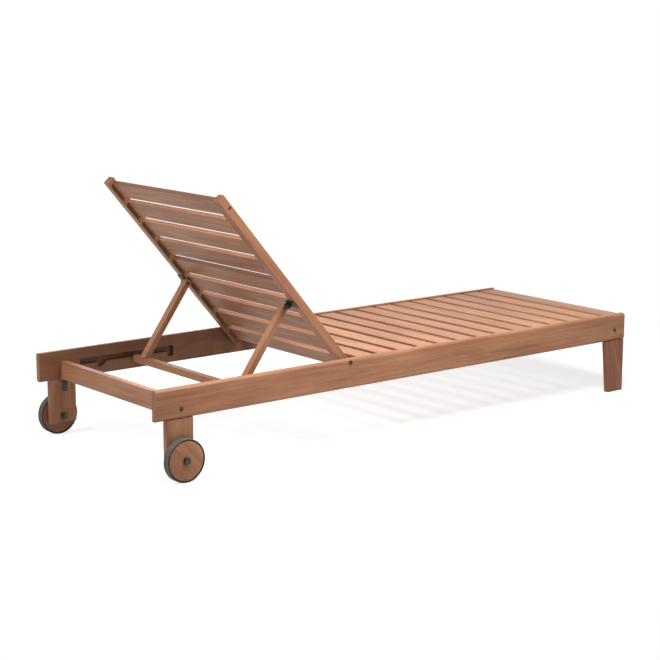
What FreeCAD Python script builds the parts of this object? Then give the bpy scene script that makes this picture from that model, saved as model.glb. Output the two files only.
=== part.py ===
"""Slatted hardwood sun lounger with a back that props up in notched rails and two wheels.

The frame stands on the floor at z = 0. X runs from the head end (wheels, minus) to the foot
end (plus), Y runs across it, and the origin is midway between the rail ends on the floor.
Everything is in millimetres. The back is drawn lying flat and then turned up about its pivot
to the angle that its struts give it in the middle pair of notches.
"""
import FreeCAD, Part
import math
import os

# Overall frame
FRAME_LENGTH = 2000.0
FRAME_WIDTH = 692.0
RAIL_TOP = 281.0
RAIL_HEIGHT = 94.0
BOARD_T = 20.0
RAIL_OUTER_ROUND = 9.0
EDGE_ROUND = 2.0

# Slats, cut from the same stock for the seat and the back
SLAT_W = 65.5
SEAT_GAP = 22.5
BACK_GAP = 21.5
SLAT_T = 14.5
SLAT_BELOW_RAIL = 4.3
FOOT_SLAT_W = 72.0
TOP_SLAT_W = 62.5
BOTTOM_SLAT_W = 58.0
MORTISE_DEPTH = 8.0
MORTISE_PLAY = 0.2
FOOT_SLAT_INSET = 1.0
SEAT_CLEAR_OF_PIVOT = 50.0

# Cross rails between the two side rails
CROSS_RAIL_T = 24.0
HEAD_RAIL_H = 59.0
HEAD_RAIL_INSET = 78.0
FOOT_RAIL_INSET = 39.0

# Legs
FOOT_LEG_W = 92.0
FOOT_LEG_TAPER = 18.0
FOOT_LEG_INSET = 1.0
WHEEL_LEG_W = 94.0
WHEEL_LEG_CLEAR = 44.0
LEG_CORNER = 3.0
DOWEL_D = 10.0
DOWEL_L = 40.0
DOWEL_SPREAD = 46.0

# Wheels
WHEEL_R = 66.0
WHEEL_W = 25.0
TYRE_T = 5.0
TYRE_ROUND = 2.0
DISC_RIM_ROUND = 3.5
AXLE_FROM_HEAD = 84.0
WHEEL_STAND_OFF = 7.0
AXLE_D = 12.0
AXLE_HEAD_AF = 19.0
AXLE_HEAD_H = 6.2
AXLE_HEAD_BEVEL = 0.5
AXLE_NUT_H = 10.0
AXLE_WASHER_D = 24.0
AXLE_WASHER_T = 1.5
BUSH_WALL = 2.5
BOLT_TIP = 1.5

# Back
BACK_REACH = 723.0
BACK_BELOW_PIVOT = 48.0
BACK_END_GAP = 6.5
STILE_W = 29.0
STILE_T = 29.0
STILE_ROUND = 2.5
STILE_FRONT_OF_PIVOT = 14.0
SLAT_BELOW_STILE = 2.5
TOP_SLAT_BELOW_END = 10.8
SIDE_GAP = 8.0
PIVOT_BELOW_TOP = 10.6
PIVOT_D = 6.0
PIVOT_HEAD_D = 14.0
PIVOT_HEAD_H = 3.0
PIVOT_SPACER_D = 16.0
PIVOT_NUT_AF = 10.0
PIVOT_NUT_H = 6.0
SLAT_SCREW_D = 4.0
SLAT_SCREW_HEAD_D = 9.0
SLAT_SCREW_HEAD_H = 1.8
SLAT_SCREW_L = 45.0

# Prop: two struts and the bar across their feet
STRUT_PIVOT_UP = 278.5
STRUT_PIVOT_BEHIND = 29.5
STRUT_REACH = 292.4
STRUT_W = 25.0
STRUT_T = 21.5
STRUT_ROUND = 3.0
STRUT_INBOARD = 8.5
STRUT_FOOT_SHIFT = 2.5
BAR_W = 24.0
BAR_H = 23.0
BAR_ROUND = 2.5
BAR_END_CLEAR = 1.0
FOOT_SCREW_D = 5.0
FOOT_SCREW_L = 45.0
FOOT_SCREW_IN_BAR = 12.0

# Bracket between a stile and a strut
BRACKET_T = 3.0
BRACKET_L = 30.0
EAR_R = 11.0
RIVET_D = 6.0
RIVET_HEAD_D = 12.0
RIVET_HEAD_H = 3.0
BRACKET_SCREW_D = 3.5
BRACKET_SCREW_HEAD_D = 7.0
BRACKET_SCREW_HEAD_H = 1.6
BRACKET_SCREW_L = 15.0
BRACKET_SCREW_SPREAD = 15.0

# Groove and notches routed in the inner face of each side rail
GROOVE_BELOW_TOP = 36.0
GROOVE_H = 20.0
GROOVE_DEPTH = 12.0
NOTCH_W = 18.0
NOTCH_DEPTH = 16.5
NOTCH_RAMP = 19.0
NOTCH_PITCH = 136.0
NOTCHES = 3
REST_NOTCH_FROM_PIVOT = 379.5
GROOVE_END_FROM_PIVOT = 581.5

# Fasteners of the frame
FRAME_BOLT_D = 6.0
FRAME_BOLT_L = 62.0
FRAME_BOLT_HEAD_D = 13.0
FRAME_BOLT_HEAD_H = 2.5
BOLT_HEAD_ROUND = 1.6
BOLT_KEY = 4.0
BOLT_KEY_FLOOR = 0.6
BARREL_D = 10.0
BARREL_L = 18.0
BARREL_FROM_END = 34.0
ANGLE_W = 18.0
ANGLE_LEAF = 40.0
ANGLE_T = 3.0
ANGLE_SCREW_FROM_BEND = 13.0
ANGLE_SCREW_FROM_BEND_FAR = 31.0
ANGLE_SCREW_D = 4.0
ANGLE_SCREW_HEAD_D = 7.5
ANGLE_SCREW_HEAD_H = 1.8
ANGLE_SCREW_L = 14.0

# Fits
TURNING_PLAY = 0.05
FACE_PLAY = 0.3
HOLE_PLAY = 0.2

# How far a cutter runs past the face that it cuts
CUT_OVER = 1.0

# Places that follow from the sizes above
HALF_L = FRAME_LENGTH / 2
HALF_W = FRAME_WIDTH / 2
INNER_Y = HALF_W - BOARD_T
RAIL_BOTTOM = RAIL_TOP - RAIL_HEIGHT
SEAT_TOP = RAIL_TOP - SLAT_BELOW_RAIL
PIVOT_X = -HALF_L + BACK_END_GAP + BACK_REACH
PIVOT_Z = RAIL_TOP - PIVOT_BELOW_TOP
AXLE_X = -HALF_L + AXLE_FROM_HEAD
STILE_OUT = INNER_Y - SIDE_GAP
STILE_IN = STILE_OUT - STILE_W
STRUT_OUT = STILE_IN - STRUT_INBOARD
STRUT_IN = STRUT_OUT - STRUT_W
EAR_IN = STRUT_OUT + FACE_PLAY
STILE_REAR = STILE_T - STILE_FRONT_OF_PIVOT
SLAT_FRONT = SLAT_BELOW_STILE - STILE_FRONT_OF_PIVOT
SLAT_REAR = SLAT_FRONT + SLAT_T
GROOVE_TOP = RAIL_TOP - GROOVE_BELOW_TOP
GROOVE_FLOOR = GROOVE_TOP - GROOVE_H
NOTCH_FLOOR = GROOVE_FLOOR - NOTCH_DEPTH
REST_NOTCH_X = PIVOT_X - REST_NOTCH_FROM_PIVOT
GROOVE_HEAD_X = PIVOT_X - GROOVE_END_FROM_PIVOT
BAR_X = REST_NOTCH_X + BAR_W / 2
BAR_Z = NOTCH_FLOOR + BAR_H / 2
HEAD_RAIL_X = -HALF_L + HEAD_RAIL_INSET
FOOT_RAIL_X = HALF_L - FOOT_RAIL_INSET - CROSS_RAIL_T
FOOT_RAIL_TOP = SEAT_TOP - SLAT_T
FOOT_RAIL_H = FOOT_RAIL_TOP - RAIL_BOTTOM
WHEEL_IN = HALF_W + WHEEL_STAND_OFF
WHEEL_OUT = WHEEL_IN + WHEEL_W
TOP_SLAT_END = BACK_REACH - TOP_SLAT_BELOW_END

SIDES = (("left", 1), ("right", -1))


def back_angle():
    """Angle of the back above level, in degrees, that the struts give it at the rest notch."""
    drop = PIVOT_Z - BAR_Z
    run = PIVOT_X - BAR_X
    pivot_to_bar = math.hypot(run, drop)
    pivot_to_strut = math.hypot(STRUT_PIVOT_UP, STRUT_PIVOT_BEHIND)
    cosine = (pivot_to_strut ** 2 + pivot_to_bar ** 2 - STRUT_REACH ** 2) / (
        2 * pivot_to_strut * pivot_to_bar)
    at_pivot = math.degrees(math.acos(cosine))
    below_level = math.degrees(math.atan2(drop, run))
    off_stile = math.degrees(math.atan2(STRUT_PIVOT_BEHIND, STRUT_PIVOT_UP))
    return at_pivot - below_level + off_stile


BACK_ANGLE = back_angle()


def box(x0, x1, y0, y1, z0, z1):
    """Block between two corners, given in any order."""
    low = FreeCAD.Vector(min(x0, x1), min(y0, y1), min(z0, z1))
    return Part.makeBox(abs(x1 - x0), abs(y1 - y0), abs(z1 - z0), low)


def rod_y(x, z, radius, y0, y1):
    """Cylinder along Y."""
    start = FreeCAD.Vector(x, min(y0, y1), z)
    return Part.makeCylinder(radius, abs(y1 - y0), start, FreeCAD.Vector(0, 1, 0))


def bore_y(x, z, radius, y0, y1):
    """Cutter for a round hole along Y, which runs past both of its ends."""
    return rod_y(x, z, radius, min(y0, y1) - CUT_OVER, max(y0, y1) + CUT_OVER)


def rod_z(x, y, radius, z0, z1):
    """Cylinder along Z."""
    start = FreeCAD.Vector(x, y, min(z0, z1))
    return Part.makeCylinder(radius, abs(z1 - z0), start, FreeCAD.Vector(0, 0, 1))


def plate_y(points, y0, y1):
    """Prism along Y whose outline is a list of (x, z) points."""
    low = min(y0, y1)
    corners = [FreeCAD.Vector(x, low, z) for x, z in points]
    face = Part.Face(Part.makePolygon(corners + corners[:1]))
    return face.extrude(FreeCAD.Vector(0, abs(y1 - y0), 0))


def hexagon_y(x, z, across_flats, y0, y1):
    """Hexagonal prism along Y, with a flat at its top."""
    radius = across_flats / math.sqrt(3)
    angles = [math.radians(60 * step) for step in range(6)]
    return plate_y([(x + radius * math.cos(a), z + radius * math.sin(a)) for a in angles], y0, y1)


def dome_head_y(x, z, diameter, height, y_seat, side):
    """Low domed bolt head standing on a face at y_seat, outwards on the given side."""
    head = rod_y(x, z, diameter / 2, y_seat, y_seat + side * height)
    rim = [e for e in head.Edges if abs(e.CenterOfMass.y - (y_seat + side * height)) < 1e-6]
    return head.makeFillet(BOLT_HEAD_ROUND, rim)


def eased(shape, axis, radius, keep=None):
    """Round the edges that run along one axis, only where keep says so."""
    direction = {"x": FreeCAD.Vector(1, 0, 0), "y": FreeCAD.Vector(0, 1, 0),
                 "z": FreeCAD.Vector(0, 0, 1)}[axis]
    chosen = []
    for edge in shape.Edges:
        if edge.Curve.TypeId != "Part::GeomLine":
            continue
        if abs(abs(edge.Curve.Direction.dot(direction)) - 1) > 1e-6:
            continue
        if keep is None or keep(edge.CenterOfMass):
            chosen.append(edge)
    return shape.makeFillet(radius, chosen)


def turned_up(shape):
    """Turn a piece of the back from lying flat to its rest angle."""
    turned = shape.copy()
    turned.rotate(FreeCAD.Vector(PIVOT_X, 0, PIVOT_Z), FreeCAD.Vector(0, 1, 0), BACK_ANGLE)
    return turned


def back_point(up, behind):
    """World x and z of a point of the back, given up its stiles and behind its pivot line."""
    flat = FreeCAD.Vector(PIVOT_X - up, 0, PIVOT_Z - behind)
    turn = FreeCAD.Rotation(FreeCAD.Vector(0, 1, 0), BACK_ANGLE)
    centre = FreeCAD.Vector(PIVOT_X, 0, PIVOT_Z)
    place = centre + turn.multVec(flat - centre)
    return place.x, place.z


def back_box(up0, up1, y0, y1, behind0, behind1):
    """Block of the back in the flat pose."""
    return box(PIVOT_X - up0, PIVOT_X - up1, y0, y1, PIVOT_Z - behind0, PIVOT_Z - behind1)


def seat_slat_spans():
    """Start and end of each seat slat along X, from the foot end to the back."""
    end = HALF_L - FOOT_SLAT_INSET
    spans = [(end - FOOT_SLAT_W, end)]
    start = end - FOOT_SLAT_W - SEAT_GAP - SLAT_W
    while start > PIVOT_X + SEAT_CLEAR_OF_PIVOT:
        spans.append((start, start + SLAT_W))
        start -= SEAT_GAP + SLAT_W
    return spans


def back_slat_spans():
    """Lower and upper edge of each back slat, measured up the stiles, from the top down."""
    spans = [(TOP_SLAT_END - TOP_SLAT_W, TOP_SLAT_END)]
    upper = TOP_SLAT_END - TOP_SLAT_W - BACK_GAP
    while upper - SLAT_W > BOTTOM_SLAT_W - BACK_BELOW_PIVOT:
        spans.append((upper - SLAT_W, upper))
        upper -= BACK_GAP + SLAT_W
    spans.append((upper - BOTTOM_SLAT_W, upper))
    return spans


def groove(side):
    """Cutter for the groove and its notches in one side rail."""
    notch_starts = [REST_NOTCH_X + NOTCH_PITCH * (i - NOTCHES // 2) for i in range(NOTCHES)]
    foot_x = notch_starts[-1] + BAR_W
    outline = [(GROOVE_HEAD_X, GROOVE_TOP), (GROOVE_HEAD_X, GROOVE_FLOOR)]
    for start in notch_starts[:-1]:
        outline += [(start, GROOVE_FLOOR), (start, NOTCH_FLOOR), (start + NOTCH_W, NOTCH_FLOOR),
                    (start + NOTCH_W + NOTCH_RAMP, GROOVE_FLOOR)]
    outline += [(notch_starts[-1], GROOVE_FLOOR), (notch_starts[-1], NOTCH_FLOOR),
                (foot_x, NOTCH_FLOOR), (foot_x, GROOVE_TOP)]
    cutter = plate_y(outline, side * (INNER_Y - CUT_OVER), side * (INNER_Y + GROOVE_DEPTH))
    ends = (GROOVE_HEAD_X, foot_x)
    return eased(cutter, "y", GROOVE_H / 4, lambda p: min(abs(p.x - e) for e in ends) < 1e-6)


def dowel_places(leg):
    """X and Y of the two dowels between a leg and its rail, for a right-hand leg."""
    middle = {"foot": HALF_L - FOOT_LEG_INSET - FOOT_LEG_W / 2, "wheel": AXLE_X}[leg]
    return [middle - DOWEL_SPREAD / 2, middle + DOWEL_SPREAD / 2]


def side_rail(side):
    """Long side rail with its rounded outer edges, mortises, groove and holes."""
    inner, outer = side * INNER_Y, side * HALF_W
    rail = box(-HALF_L, HALF_L, inner, outer, RAIL_BOTTOM, RAIL_TOP)
    rail = eased(rail, "x", RAIL_OUTER_ROUND, lambda p: abs(p.y - outer) < 1e-6)
    rail = eased(rail, "x", EDGE_ROUND, lambda p: abs(p.y - inner) < 1e-6)
    cutters = [groove(side)]
    for start, end in seat_slat_spans():
        cutters.append(box(start - MORTISE_PLAY, end + MORTISE_PLAY,
                           side * (INNER_Y - CUT_OVER), side * (INNER_Y + MORTISE_DEPTH + MORTISE_PLAY),
                           SEAT_TOP - SLAT_T - MORTISE_PLAY, SEAT_TOP + MORTISE_PLAY))
    cutters.append(bore_y(PIVOT_X, PIVOT_Z, PIVOT_D / 2 + HOLE_PLAY, inner, outer))
    for x, z in (head_bolt_place(), foot_bolt_place()):
        cutters.append(bore_y(x, z, FRAME_BOLT_D / 2 + HOLE_PLAY, inner, outer))
    for leg in ("foot", "wheel"):
        for x in dowel_places(leg):
            cutters.append(rod_z(x, side * (INNER_Y + BOARD_T / 2), DOWEL_D / 2,
                                 RAIL_BOTTOM - CUT_OVER, RAIL_BOTTOM + DOWEL_L / 2))
    return rail.cut(cutters)


def head_bolt_place():
    """X and Z of the bolt at the middle of the head cross rail's end."""
    return HEAD_RAIL_X + CROSS_RAIL_T / 2, RAIL_BOTTOM + HEAD_RAIL_H / 2


def foot_bolt_place():
    """X and Z of the bolt at the middle of the foot cross rail's end."""
    return FOOT_RAIL_X + CROSS_RAIL_T / 2, RAIL_BOTTOM + FOOT_RAIL_H / 2


def cross_rail(x0, bottom, height, bolt):
    """Cross rail between the side rails, bored for its bolts and their barrel nuts."""
    rail = box(x0, x0 + CROSS_RAIL_T, -INNER_Y, INNER_Y, bottom, bottom + height)
    rail = eased(rail, "y", EDGE_ROUND)
    cutters = []
    for _, side in SIDES:
        tip = side * (HALF_W - FRAME_BOLT_L)
        cutters.append(bore_y(bolt[0], bolt[1], FRAME_BOLT_D / 2 + HOLE_PLAY, tip, side * INNER_Y))
        barrel_y = side * (INNER_Y - BARREL_FROM_END)
        cutters.append(rod_z(bolt[0], barrel_y, BARREL_D / 2, bottom - CUT_OVER,
                             bolt[1] + BARREL_L / 2))
    return rail.cut(cutters)


def frame_bolts():
    """Four domed bolts that hold the cross rails, one at each corner."""
    bolts = []
    for x, z in (head_bolt_place(), foot_bolt_place()):
        for _, side in SIDES:
            shank = rod_y(x, z, FRAME_BOLT_D / 2, side * HALF_W, side * (HALF_W - FRAME_BOLT_L))
            head = dome_head_y(x, z, FRAME_BOLT_HEAD_D, FRAME_BOLT_HEAD_H, side * HALF_W, side)
            socket = hexagon_y(x, z, BOLT_KEY, side * (HALF_W + BOLT_KEY_FLOOR),
                               side * (HALF_W + FRAME_BOLT_HEAD_H + CUT_OVER))
            bolts.append(shank.fuse(head).cut(socket).removeSplitter())
    return Part.makeCompound(bolts)


def barrel_nuts():
    """Four barrel nuts, each crossing the tip of a frame bolt inside a cross rail."""
    nuts = []
    for x, z in (head_bolt_place(), foot_bolt_place()):
        for _, side in SIDES:
            y = side * (INNER_Y - BARREL_FROM_END)
            nut = rod_z(x, y, BARREL_D / 2, z - BARREL_L / 2, z + BARREL_L / 2)
            nuts.append(nut.cut(bore_y(x, z, FRAME_BOLT_D / 2, y - BARREL_D / 2, y + BARREL_D / 2)))
    return Part.makeCompound(nuts)


def seat_slat(start, end):
    """Seat slat, set into the rails at both ends."""
    reach = INNER_Y + MORTISE_DEPTH
    slat = box(start, end, -reach, reach, SEAT_TOP - SLAT_T, SEAT_TOP)
    return eased(slat, "y", EDGE_ROUND)


def foot_leg(side):
    """Foot leg under a side rail, narrower at the floor."""
    foot_x = HALF_L - FOOT_LEG_INSET
    outline = [(foot_x - FOOT_LEG_W, RAIL_BOTTOM), (foot_x, RAIL_BOTTOM),
               (foot_x, 0), (foot_x - FOOT_LEG_W + FOOT_LEG_TAPER, 0)]
    leg = plate_y(outline, side * INNER_Y, side * HALF_W)
    sides = [e for e in leg.Edges if abs(e.Vertexes[0].Z - e.Vertexes[1].Z) > RAIL_BOTTOM / 2]
    leg = leg.makeFillet(EDGE_ROUND, sides)
    return leg.cut(leg_bores("foot", side))


def wheel_leg(side):
    """Leg under a side rail at the head end, which carries the axle bolt of a wheel."""
    leg = box(AXLE_X - WHEEL_LEG_W / 2, AXLE_X + WHEEL_LEG_W / 2,
              side * INNER_Y, side * HALF_W, WHEEL_LEG_CLEAR, RAIL_BOTTOM)
    leg = eased(leg, "y", LEG_CORNER, lambda p: p.z < WHEEL_LEG_CLEAR + LEG_CORNER)
    leg = eased(leg, "z", EDGE_ROUND)
    axle = bore_y(AXLE_X, WHEEL_R, AXLE_D / 2 + HOLE_PLAY, side * INNER_Y, side * HALF_W)
    return leg.cut(leg_bores("wheel", side) + [axle])


def leg_bores(leg, side):
    """Cutters for the two dowels in the top of a leg."""
    return [rod_z(x, side * (INNER_Y + BOARD_T / 2), DOWEL_D / 2,
                  RAIL_BOTTOM - DOWEL_L / 2, RAIL_BOTTOM + CUT_OVER) for x in dowel_places(leg)]


def leg_dowels():
    """Eight glued dowels, two between each leg and its rail."""
    dowels = []
    for leg in ("foot", "wheel"):
        for x in dowel_places(leg):
            for _, side in SIDES:
                dowels.append(rod_z(x, side * (INNER_Y + BOARD_T / 2), DOWEL_D / 2,
                                    RAIL_BOTTOM - DOWEL_L / 2, RAIL_BOTTOM + DOWEL_L / 2))
    return Part.makeCompound(dowels)


def angle_places():
    """Middle X, top Z and side of each angle bracket under the ends of the cross rails."""
    head_x = head_bolt_place()[0]
    foot_x = foot_bolt_place()[0]
    return [(x, z, side) for x, z in ((head_x, RAIL_BOTTOM), (foot_x, RAIL_BOTTOM))
            for _, side in SIDES]


def leg_brackets():
    """Four steel angle brackets that hold the legs to the cross rails."""
    brackets = []
    for x, top, side in angle_places():
        under_rail = box(x - ANGLE_W / 2, x + ANGLE_W / 2, side * INNER_Y,
                         side * (INNER_Y - ANGLE_LEAF), top - ANGLE_T, top)
        on_leg = box(x - ANGLE_W / 2, x + ANGLE_W / 2, side * INNER_Y,
                     side * (INNER_Y - ANGLE_T), top - ANGLE_LEAF, top)
        bracket = under_rail.fuse(on_leg).removeSplitter()
        brackets.append(bracket.cut(angle_screw_shanks(x, top, side)))
    return Part.makeCompound(brackets)


def angle_screw_shanks(x, top, side, radius=ANGLE_SCREW_D / 2):
    """Shanks of one bracket's four screws, two up into the cross rail and two into the leg."""
    shanks = []
    for along in (ANGLE_SCREW_FROM_BEND, ANGLE_SCREW_FROM_BEND_FAR):
        y = side * (INNER_Y - along)
        shanks.append(rod_z(x, y, radius, top - ANGLE_T, top - ANGLE_T + ANGLE_SCREW_L))
        shanks.append(rod_y(x, top - along, radius, side * (INNER_Y - ANGLE_T),
                            side * (INNER_Y - ANGLE_T + ANGLE_SCREW_L)))
    return shanks


def bracket_screws():
    """Sixteen pan head screws of the angle brackets."""
    screws = []
    for x, top, side in angle_places():
        shanks = angle_screw_shanks(x, top, side)
        for index, along in enumerate((ANGLE_SCREW_FROM_BEND, ANGLE_SCREW_FROM_BEND_FAR)):
            y = side * (INNER_Y - along)
            low_head = rod_z(x, y, ANGLE_SCREW_HEAD_D / 2, top - ANGLE_T - ANGLE_SCREW_HEAD_H,
                             top - ANGLE_T)
            side_head = rod_y(x, top - along, ANGLE_SCREW_HEAD_D / 2, side * (INNER_Y - ANGLE_T),
                              side * (INNER_Y - ANGLE_T - ANGLE_SCREW_HEAD_H))
            screws.append(shanks[2 * index].fuse(low_head).removeSplitter())
            screws.append(shanks[2 * index + 1].fuse(side_head).removeSplitter())
    return Part.makeCompound(screws)


def wheel_disc(side):
    """Round wooden wheel body with eased rims and a bored hub."""
    radius = WHEEL_R - TYRE_T
    disc = rod_y(AXLE_X, WHEEL_R, radius, side * WHEEL_IN, side * WHEEL_OUT)
    rims = [e for e in disc.Edges if e.Curve.TypeId == "Part::GeomCircle"]
    disc = disc.makeFillet(DISC_RIM_ROUND, rims)
    hub = bore_y(AXLE_X, WHEEL_R, AXLE_D / 2 + TURNING_PLAY + BUSH_WALL,
                 side * WHEEL_IN, side * WHEEL_OUT)
    return disc.cut(hub)


def tyre(side):
    """Solid rubber tyre round the wheel disc."""
    ring = rod_y(AXLE_X, WHEEL_R, WHEEL_R, side * WHEEL_IN, side * WHEEL_OUT)
    rims = [e for e in ring.Edges if e.Curve.TypeId == "Part::GeomCircle"]
    ring = ring.makeFillet(TYRE_ROUND, rims)
    return ring.cut(bore_y(AXLE_X, WHEEL_R, WHEEL_R - TYRE_T, side * WHEEL_IN, side * WHEEL_OUT))


def wheel_bush(side):
    """Bush pressed through the wheel disc, which turns on the axle bolt."""
    bore = AXLE_D / 2 + TURNING_PLAY
    bush = rod_y(AXLE_X, WHEEL_R, bore + BUSH_WALL, side * WHEEL_IN, side * WHEEL_OUT)
    return bush.cut(bore_y(AXLE_X, WHEEL_R, bore, side * WHEEL_IN, side * WHEEL_OUT))


def axle_head_seat():
    """Distance from the middle plane to the underside of an axle bolt's head."""
    return WHEEL_OUT + FACE_PLAY + AXLE_WASHER_T


def axle_bolts():
    """Two hexagon bolts, each through a wheel and its leg."""
    bolts = []
    for _, side in SIDES:
        seat = side * axle_head_seat()
        shank = rod_y(AXLE_X, WHEEL_R, AXLE_D / 2, seat, side * (INNER_Y - AXLE_NUT_H - BOLT_TIP))
        head = hexagon_y(AXLE_X, WHEEL_R, AXLE_HEAD_AF, seat, seat + side * AXLE_HEAD_H)
        crown = Part.makeCone(AXLE_HEAD_AF / 2 + AXLE_HEAD_H, AXLE_HEAD_AF / 2 - AXLE_HEAD_BEVEL,
                              AXLE_HEAD_H, FreeCAD.Vector(AXLE_X, seat, WHEEL_R),
                              FreeCAD.Vector(0, side, 0))
        bolts.append(shank.fuse(head.common(crown)).removeSplitter())
    return Part.makeCompound(bolts)


def axle_nuts():
    """Two hexagon nuts on the axle bolts, against the inner faces of the wheel legs."""
    nuts = []
    for _, side in SIDES:
        start, end = side * INNER_Y, side * (INNER_Y - AXLE_NUT_H)
        nut = hexagon_y(AXLE_X, WHEEL_R, AXLE_HEAD_AF, start, end)
        nuts.append(nut.cut(bore_y(AXLE_X, WHEEL_R, AXLE_D / 2, start, end)))
    return Part.makeCompound(nuts)


def axle_washers():
    """A thick spacer between leg and wheel and a thin washer under each bolt head."""
    washers = []
    for _, side in SIDES:
        for start, end in ((HALF_W, WHEEL_IN - FACE_PLAY),
                           (WHEEL_OUT + FACE_PLAY, axle_head_seat())):
            ring = rod_y(AXLE_X, WHEEL_R, AXLE_WASHER_D / 2, side * start, side * end)
            washers.append(ring.cut(bore_y(AXLE_X, WHEEL_R, AXLE_D / 2, side * start, side * end)))
    return Part.makeCompound(washers)


def pivot_bolt_tip():
    """Distance from the middle plane to the end of a pivot bolt, just past its nut."""
    return STILE_IN - FACE_PLAY - PIVOT_NUT_H - BOLT_TIP


def pivot_bolts():
    """Two domed bolts, each through a side rail and a stile of the back."""
    bolts = []
    for _, side in SIDES:
        shank = rod_y(PIVOT_X, PIVOT_Z, PIVOT_D / 2, side * HALF_W, side * pivot_bolt_tip())
        head = dome_head_y(PIVOT_X, PIVOT_Z, PIVOT_HEAD_D, PIVOT_HEAD_H, side * HALF_W, side)
        socket = hexagon_y(PIVOT_X, PIVOT_Z, BOLT_KEY, side * (HALF_W + BOLT_KEY_FLOOR),
                           side * (HALF_W + PIVOT_HEAD_H + CUT_OVER))
        bolts.append(shank.fuse(head).cut(socket).removeSplitter())
    return Part.makeCompound(bolts)


def pivot_spacers():
    """Two spacers that keep the stiles clear of the side rails."""
    spacers = []
    for _, side in SIDES:
        start, end = side * (STILE_OUT + FACE_PLAY), side * INNER_Y
        ring = rod_y(PIVOT_X, PIVOT_Z, PIVOT_SPACER_D / 2, start, end)
        spacers.append(ring.cut(bore_y(PIVOT_X, PIVOT_Z, PIVOT_D / 2, start, end)))
    return Part.makeCompound(spacers)


def pivot_nuts():
    """Two nuts on the pivot bolts, inboard of the stiles."""
    nuts = []
    for _, side in SIDES:
        start = side * (STILE_IN - FACE_PLAY)
        end = side * (STILE_IN - FACE_PLAY - PIVOT_NUT_H)
        nut = hexagon_y(PIVOT_X, PIVOT_Z, PIVOT_NUT_AF, start, end)
        nut.rotate(FreeCAD.Vector(PIVOT_X, 0, PIVOT_Z), FreeCAD.Vector(0, 1, 0), BACK_ANGLE)
        nuts.append(nut.cut(bore_y(PIVOT_X, PIVOT_Z, PIVOT_D / 2, start, end)))
    return Part.makeCompound(nuts)


def back_stile(side):
    """Upright of the back, with a mortise for each slat and the pivot hole."""
    stile = back_box(-BACK_BELOW_PIVOT, BACK_REACH, side * STILE_IN, side * STILE_OUT,
                     -STILE_FRONT_OF_PIVOT, STILE_REAR)
    stile = eased(stile, "x", STILE_ROUND)
    cutters = [bore_y(PIVOT_X, PIVOT_Z, PIVOT_D / 2 + TURNING_PLAY, side * STILE_IN, side * STILE_OUT)]
    for low, high in back_slat_spans():
        cutters.append(back_box(low - MORTISE_PLAY, high + MORTISE_PLAY, side * (STILE_IN - CUT_OVER),
                                side * (STILE_IN + MORTISE_DEPTH + MORTISE_PLAY),
                                -STILE_FRONT_OF_PIVOT - CUT_OVER, SLAT_REAR + MORTISE_PLAY))
    return turned_up(stile.cut(cutters))


def back_slat(low, high):
    """Slat of the back, let into both stiles from the front and clear of the pivots."""
    reach = STILE_IN + MORTISE_DEPTH
    slat = back_box(low, high, -reach, reach, SLAT_FRONT, SLAT_REAR)
    slat = eased(slat, "y", EDGE_ROUND)
    room = PIVOT_NUT_AF / math.sqrt(3) + FACE_PLAY
    cutters = []
    for _, side in SIDES:
        cutters.append(rod_y(PIVOT_X, PIVOT_Z, PIVOT_D / 2 + TURNING_PLAY, side * STILE_IN,
                             side * STILE_OUT))
        cutters.append(rod_y(PIVOT_X, PIVOT_Z, room, side * STILE_IN, side * pivot_bolt_tip()))
    return turned_up(slat.cut(cutters))


def top_slat_screws():
    """Two screws through the stiles into the ends of the top slat."""
    low, high = back_slat_spans()[0]
    x, z = PIVOT_X - (low + high) / 2, PIVOT_Z - (SLAT_FRONT + SLAT_REAR) / 2
    screws = []
    for _, side in SIDES:
        shank = rod_y(x, z, SLAT_SCREW_D / 2, side * STILE_OUT, side * (STILE_OUT - SLAT_SCREW_L))
        head = rod_y(x, z, SLAT_SCREW_HEAD_D / 2, side * STILE_OUT,
                     side * (STILE_OUT + SLAT_SCREW_HEAD_H))
        screws.append(turned_up(shank.fuse(head).removeSplitter()))
    return Part.makeCompound(screws)


def strut_brackets():
    """Two bent steel brackets: a plate on the back of a stile and an ear for a strut."""
    brackets = []
    for _, side in SIDES:
        plate = back_box(STRUT_PIVOT_UP - BRACKET_L / 2, STRUT_PIVOT_UP + BRACKET_L / 2,
                         side * EAR_IN, side * STILE_OUT, STILE_REAR, STILE_REAR + BRACKET_T)
        ear = ear_outline(side)
        bracket = plate.fuse(ear).removeSplitter()
        pivot_hole = bore_y(PIVOT_X - STRUT_PIVOT_UP, PIVOT_Z - STRUT_PIVOT_BEHIND, RIVET_D / 2,
                            side * EAR_IN, side * (EAR_IN + BRACKET_T))
        cutters = [pivot_hole] + [screw_shank(up, side) for up in bracket_screw_places()]
        brackets.append(turned_up(bracket.cut(cutters)))
    return Part.makeCompound(brackets)


def ear_outline(side):
    """Ear of a bracket in the flat pose: its sides close in on a round end at the strut."""
    x, z = PIVOT_X - STRUT_PIVOT_UP, PIVOT_Z - STRUT_PIVOT_BEHIND
    root_z = PIVOT_Z - STILE_REAR
    wedge = plate_y([(x - BRACKET_L / 2, root_z), (x + BRACKET_L / 2, root_z),
                     (x + EAR_R, z), (x - EAR_R, z)], side * EAR_IN, side * (EAR_IN + BRACKET_T))
    return wedge.fuse(rod_y(x, z, EAR_R, side * EAR_IN, side * (EAR_IN + BRACKET_T)))


def bracket_screw_places():
    """Places of a bracket's two screws, measured up the stile."""
    return (STRUT_PIVOT_UP - BRACKET_SCREW_SPREAD / 2, STRUT_PIVOT_UP + BRACKET_SCREW_SPREAD / 2)


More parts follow.
